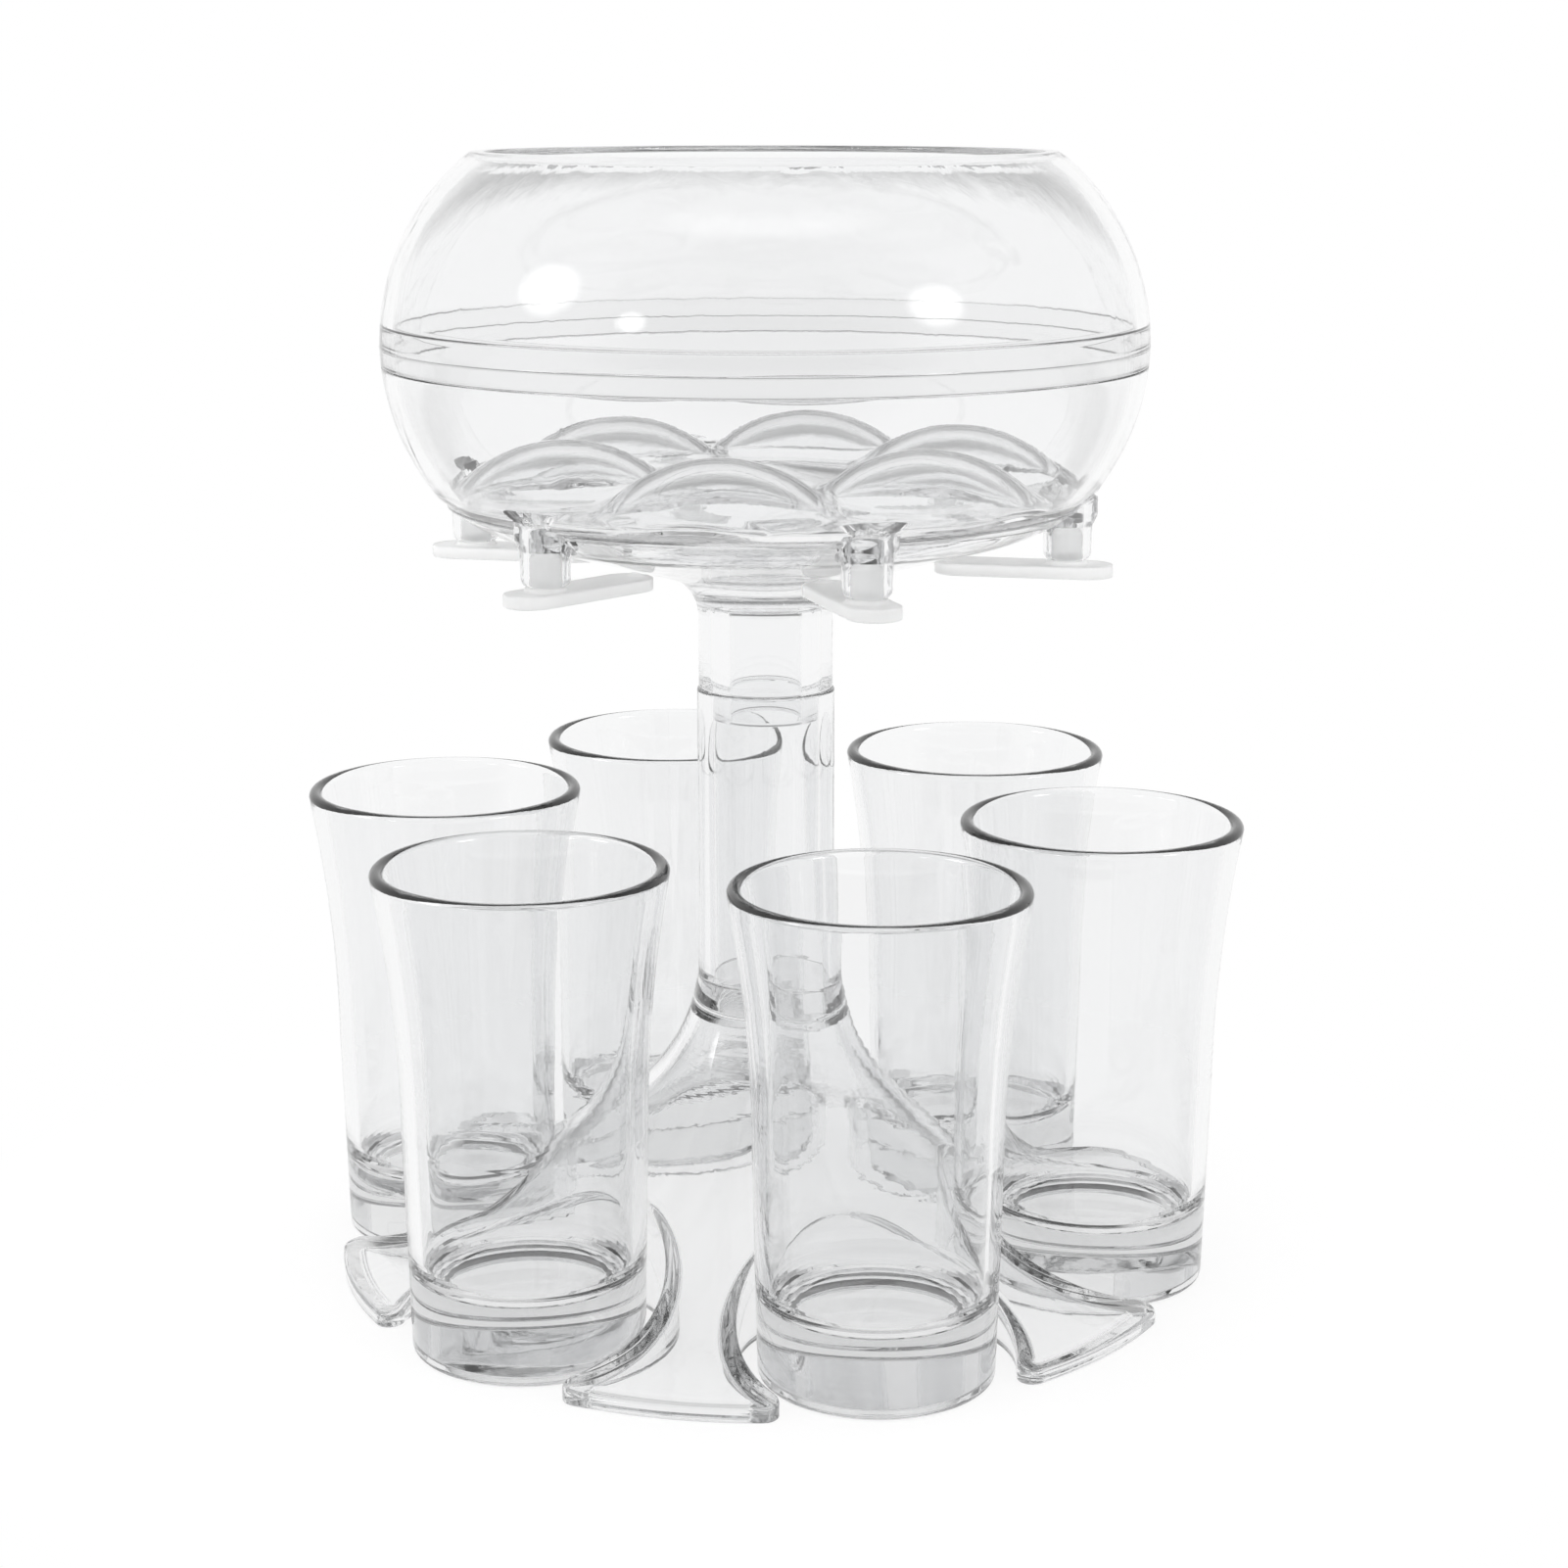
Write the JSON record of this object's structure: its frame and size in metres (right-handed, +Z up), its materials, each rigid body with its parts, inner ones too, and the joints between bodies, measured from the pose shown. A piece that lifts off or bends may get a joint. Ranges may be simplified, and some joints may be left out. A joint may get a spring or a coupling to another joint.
{
  "type": "party shot dispenser",
  "caption": "Clear bowl on a stem that fills a ring of shot cups through stoppered spouts, with a petal-shaped base that holds the cups.",
  "frame": {"origin": "centre of the base's footprint, on the table that it stands on", "axes": "+Z is up along the stem; the first cup and spout are on -Y"},
  "size_m": [0.1554, 0.17, 0.198],
  "materials": {
    "bowl_plastic": "clear, polished",
    "stand_plastic": "clear, polished",
    "cup_plastic": "clear, polished",
    "soft_white": "translucent, satin"
  },
  "bodies": {
    "stand": {"base": "stand_plastic", "stem": "stand_plastic"},
    "bowl": {"bowl_underside": "bowl_plastic", "bowl_lower": "bowl_plastic", "bowl_upper": "bowl_plastic"},
    "stopper_1": {"stopper_1": "soft_white"},
    "stopper_2": {"stopper_2": "soft_white"},
    "stopper_3": {"stopper_3": "soft_white"},
    "stopper_4": {"stopper_4": "soft_white"},
    "stopper_5": {"stopper_5": "soft_white"},
    "stopper_6": {"stopper_6": "soft_white"},
    "cup_1": {"cup_1": "cup_plastic"},
    "cup_2": {"cup_2": "cup_plastic"},
    "cup_3": {"cup_3": "cup_plastic"},
    "cup_4": {"cup_4": "cup_plastic"},
    "cup_5": {"cup_5": "cup_plastic"},
    "cup_6": {"cup_6": "cup_plastic"}
  },
  "joints": [
    {"name": "bowl_lift", "type": "slide", "parent": "stand", "child": "bowl", "axis": [0, 0, 1], "range_m": [0, 0.025]},
    {"name": "stopper_1_pull", "type": "slide", "parent": "bowl", "child": "stopper_1", "axis": [0, 0, -1], "range_m": [0, 0.012]},
    {"name": "stopper_2_pull", "type": "slide", "parent": "bowl", "child": "stopper_2", "axis": [0, 0, -1], "range_m": [0, 0.012]},
    {"name": "stopper_3_pull", "type": "slide", "parent": "bowl", "child": "stopper_3", "axis": [0, 0, -1], "range_m": [0, 0.012]},
    {"name": "stopper_4_pull", "type": "slide", "parent": "bowl", "child": "stopper_4", "axis": [0, 0, -1], "range_m": [0, 0.012]},
    {"name": "stopper_5_pull", "type": "slide", "parent": "bowl", "child": "stopper_5", "axis": [0, 0, -1], "range_m": [0, 0.012]},
    {"name": "stopper_6_pull", "type": "slide", "parent": "bowl", "child": "stopper_6", "axis": [0, 0, -1], "range_m": [0, 0.012]},
    {"name": "cup_1_lift", "type": "slide", "parent": "stand", "child": "cup_1", "axis": [0, 0, 1], "range_m": [0, 0.025]},
    {"name": "cup_2_lift", "type": "slide", "parent": "stand", "child": "cup_2", "axis": [0, 0, 1], "range_m": [0, 0.025]},
    {"name": "cup_3_lift", "type": "slide", "parent": "stand", "child": "cup_3", "axis": [0, 0, 1], "range_m": [0, 0.025]},
    {"name": "cup_4_lift", "type": "slide", "parent": "stand", "child": "cup_4", "axis": [0, 0, 1], "range_m": [0, 0.025]},
    {"name": "cup_5_lift", "type": "slide", "parent": "stand", "child": "cup_5", "axis": [0, 0, 1], "range_m": [0, 0.025]},
    {"name": "cup_6_lift", "type": "slide", "parent": "stand", "child": "cup_6", "axis": [0, 0, 1], "range_m": [0, 0.025]}
  ]
}
